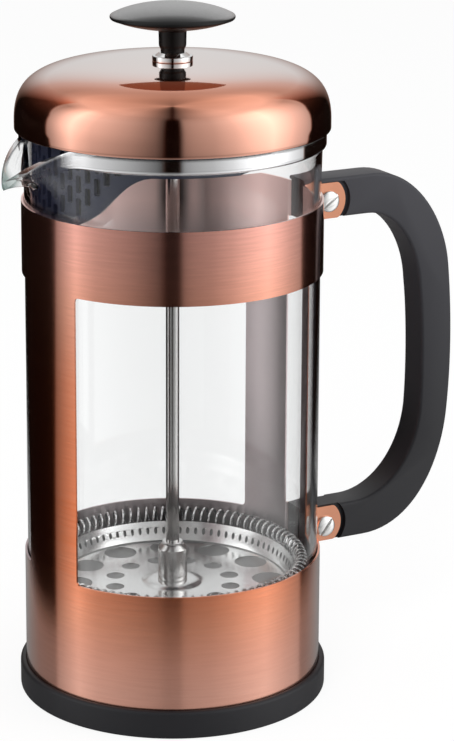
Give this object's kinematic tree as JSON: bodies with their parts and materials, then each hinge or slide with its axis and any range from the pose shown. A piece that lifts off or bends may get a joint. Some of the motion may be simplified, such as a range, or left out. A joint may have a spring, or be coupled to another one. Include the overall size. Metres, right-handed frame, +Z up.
{
  "type": "french press",
  "caption": "Glass beaker in a windowed copper-coloured sleeve on a round foot, with a side handle, domed lid and strainer, and a knobbed plunger with a spring-edged filter.",
  "frame": {"origin": "centre of the foot's flat underside", "axes": "+Z up along the beaker's axis, +X towards the handle, -X towards the spout"},
  "size_m": [0.171, 0.104, 0.2343],
  "materials": {
    "foot_plastic": "satin black moulded plastic",
    "copper_brushed": "copper-plated sheet brushed around its axis",
    "copper_polished": "polished copper-plated sheet",
    "handle_plastic": "soft-touch black plastic",
    "steel": "plain stainless steel",
    "chrome": "polished stainless steel",
    "glass": "clear borosilicate glass",
    "strainer_plastic": "black plastic with a slight sheen",
    "knob_plastic": "satin black plastic",
    "brass": "plain turned brass",
    "mesh": "fine woven steel wire"
  },
  "bodies": {
    "frame": {"sleeve": "copper_brushed", "base": "foot_plastic", "handle": "handle_plastic", "handle_screws": "steel", "handle_nuts": "steel"},
    "beaker": {"beaker": "glass"},
    "lid_collar": {"lid_collar": "chrome", "lid_washer": "steel", "lid_nut": "steel"},
    "lid": {"lid_dome": "copper_polished", "lid_strainer": "strainer_plastic"},
    "plunger": {"knob": "knob_plastic", "knob_insert": "brass", "rod": "chrome", "hub_nut": "steel", "lock_washer": "steel", "spring_plate": "steel", "coil_spring": "steel", "mesh_screen": "mesh", "support_plate": "steel", "filter_boss": "steel", "rod_end_nut": "steel"}
  },
  "joints": [
    {"name": "beaker_lift", "type": "slide", "parent": "frame", "child": "beaker", "axis": [0, 0, 1], "range_m": [0, 0.17]},
    {"name": "lid_lift", "type": "slide", "parent": "beaker", "child": "lid_collar", "axis": [0, 0, 1], "range_m": [0, 0.18]},
    {"name": "lid_turn", "type": "hinge", "parent": "lid_collar", "child": "lid", "pos_m": [0, 0, 0.215], "axis": [0, 0, 1], "continuous": true},
    {"name": "plunger_slide", "type": "slide", "parent": "lid_collar", "child": "plunger", "axis": [0, 0, 1], "range_m": [0, 0.113]}
  ]
}
